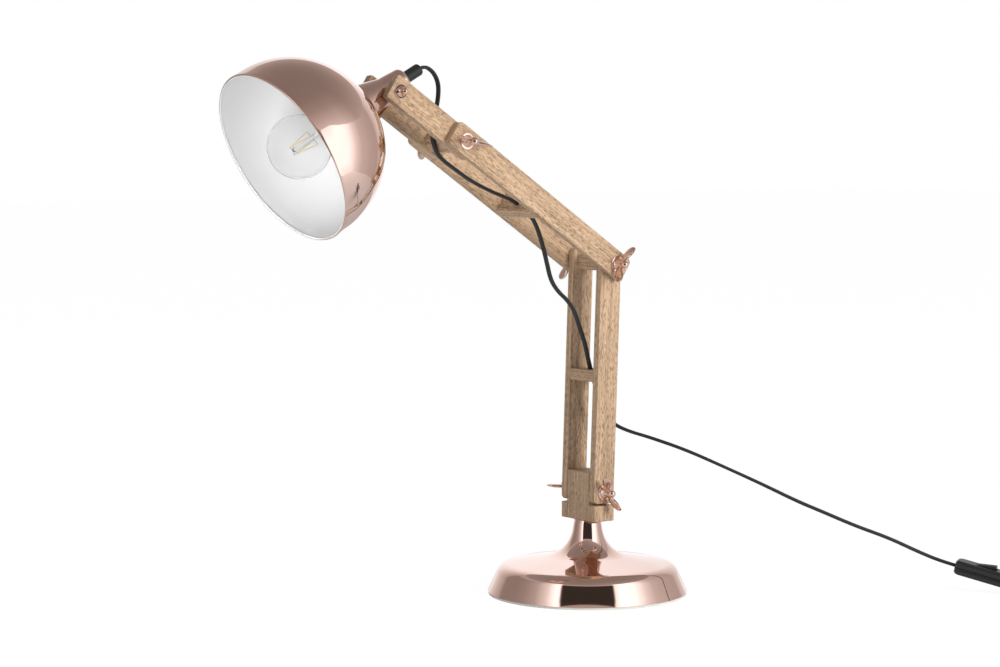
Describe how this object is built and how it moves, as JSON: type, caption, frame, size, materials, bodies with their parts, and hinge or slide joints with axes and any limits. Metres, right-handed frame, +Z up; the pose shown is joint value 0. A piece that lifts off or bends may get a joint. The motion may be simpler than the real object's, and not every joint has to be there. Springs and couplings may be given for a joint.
{
  "type": "table lamp",
  "caption": "Desk lamp with paired wooden arms on clamped pivots, a round weighted base, a tilting dome shade with bulb, and a flat cord with a rocker switch and plug.",
  "frame": {"origin": "centre of the base's underside, on the surface that the lamp stands on", "axes": "+Z up; the arms swing in the X-Z plane and the lamp reaches towards -X; the pivot bolts lie along Y, with -Y the side nearer the viewer in the picture"},
  "size_m": [0.8808, 0.5059, 0.5313],
  "materials": {
    "copper_plate": "polished copper plate",
    "wood": "light oiled wood, straight grain",
    "weight_iron": "plain cast iron",
    "pad": "pale soft pad",
    "steel": "zinc-plated steel",
    "black_plastic": "black satin",
    "cord_sheath": "black flat cord",
    "clear_glass": "clear",
    "stem_glass": "clear",
    "cap_metal": "plain",
    "filament": "yellow coating",
    "pin_metal": "nickel-plated",
    "shade_metal": "polished copper plate outside, white inside"
  },
  "bodies": {
    "base": {"base_shell": "copper_plate", "base_weight": "weight_iron", "base_pad": "pad", "base_stud": "steel", "base_nut": "steel", "base_washer": "steel", "base_block": "wood", "cord_lower": "cord_sheath", "switch_lower": "black_plastic", "switch_upper": "black_plastic", "cord_tail": "cord_sheath", "cord_coil": "cord_sheath", "cord_plug_lead": "cord_sheath", "plug_body": "black_plastic", "plug_pins": "pin_metal"},
    "lower_arm": {"lower_rail_near": "wood", "lower_rail_far": "wood", "lower_spacer": "wood", "elbow_spacer": "wood", "base_bolt": "steel", "base_washers": "copper_plate"},
    "middle_arm": {"middle_rail_near": "wood", "middle_rail_far": "wood", "middle_spacer": "wood", "elbow_bolt": "steel", "elbow_washers": "copper_plate", "mid_bolt": "steel", "mid_washers": "copper_plate", "cord_middle": "cord_sheath"},
    "front_arm": {"front_rail_near": "wood", "front_rail_far": "wood", "front_spacer": "wood", "head_bolt": "copper_plate", "head_washer": "copper_plate", "cord_front": "cord_sheath"},
    "head": {"neck": "copper_plate", "shade": "shade_metal", "shade_ring": "black_plastic", "lampholder": "black_plastic", "bulb_cap": "cap_metal", "bulb_glass": "clear_glass", "bulb_stem": "stem_glass", "bulb_filaments": "filament", "cord_grip": "black_plastic", "cord_head": "cord_sheath"},
    "rocker": {"rocker": "black_plastic"},
    "base_nut_near": {"base_nut_near": "copper_plate"},
    "base_nut_far": {"base_nut_far": "copper_plate"},
    "elbow_nut_near": {"elbow_nut_near": "copper_plate"},
    "elbow_nut_far": {"elbow_nut_far": "copper_plate"},
    "mid_nut_near": {"mid_nut_near": "copper_plate"},
    "mid_nut_far": {"mid_nut_far": "copper_plate"},
    "head_nut_far": {"head_nut_far": "copper_plate"}
  },
  "joints": [
    {"name": "base_pivot", "type": "hinge", "parent": "base", "child": "lower_arm", "pos_m": [0, 0, 0.1042], "axis": [0, 1, 0], "range_deg": [-18, 13.9], "deforming": ["cord_lower"]},
    {"name": "elbow_pivot", "type": "hinge", "parent": "lower_arm", "child": "middle_arm", "pos_m": [0.00835, 0, 0.33205], "axis": [0, 1, 0], "range_deg": [-38, 56], "deforming": ["cord_middle"]},
    {"name": "mid_pivot", "type": "hinge", "parent": "middle_arm", "child": "front_arm", "pos_m": [-0.17489, 0, 0.45379], "axis": [0, 1, 0], "range_deg": [-40, 45], "deforming": ["cord_front"]},
    {"name": "head_tilt", "type": "hinge", "parent": "front_arm", "child": "head", "pos_m": [-0.24486, 0, 0.50028], "axis": [0, 1, 0], "range_deg": [-30, 110], "deforming": ["cord_head"]},
    {"name": "base_nut_near_turn", "type": "hinge", "parent": "lower_arm", "child": "base_nut_near", "pos_m": [0, -0.0265, 0.1042], "axis": [0, 1, 0], "continuous": true},
    {"name": "base_nut_far_turn", "type": "hinge", "parent": "lower_arm", "child": "base_nut_far", "pos_m": [0, 0.0265, 0.1042], "axis": [0, 1, 0], "continuous": true},
    {"name": "elbow_nut_near_turn", "type": "hinge", "parent": "middle_arm", "child": "elbow_nut_near", "pos_m": [0.00835, -0.0353, 0.33205], "axis": [0, 1, 0], "continuous": true},
    {"name": "elbow_nut_far_turn", "type": "hinge", "parent": "middle_arm", "child": "elbow_nut_far", "pos_m": [0.00835, 0.0353, 0.33205], "axis": [0, 1, 0], "continuous": true},
    {"name": "mid_nut_near_turn", "type": "hinge", "parent": "middle_arm", "child": "mid_nut_near", "pos_m": [-0.17489, -0.0353, 0.45379], "axis": [0, 1, 0], "continuous": true},
    {"name": "mid_nut_far_turn", "type": "hinge", "parent": "middle_arm", "child": "mid_nut_far", "pos_m": [-0.17489, 0.0353, 0.45379], "axis": [0, 1, 0], "continuous": true},
    {"name": "head_nut_far_turn", "type": "hinge", "parent": "front_arm", "child": "head_nut_far", "pos_m": [-0.24486, 0.0265, 0.50028], "axis": [0, 1, 0], "continuous": true},
    {"name": "rocker_press", "type": "hinge", "parent": "base", "child": "rocker", "pos_m": [0.32054, -0.24151, 0.02387], "axis": [0.829, 0.5592, 0], "range_deg": [0, 20]}
  ]
}
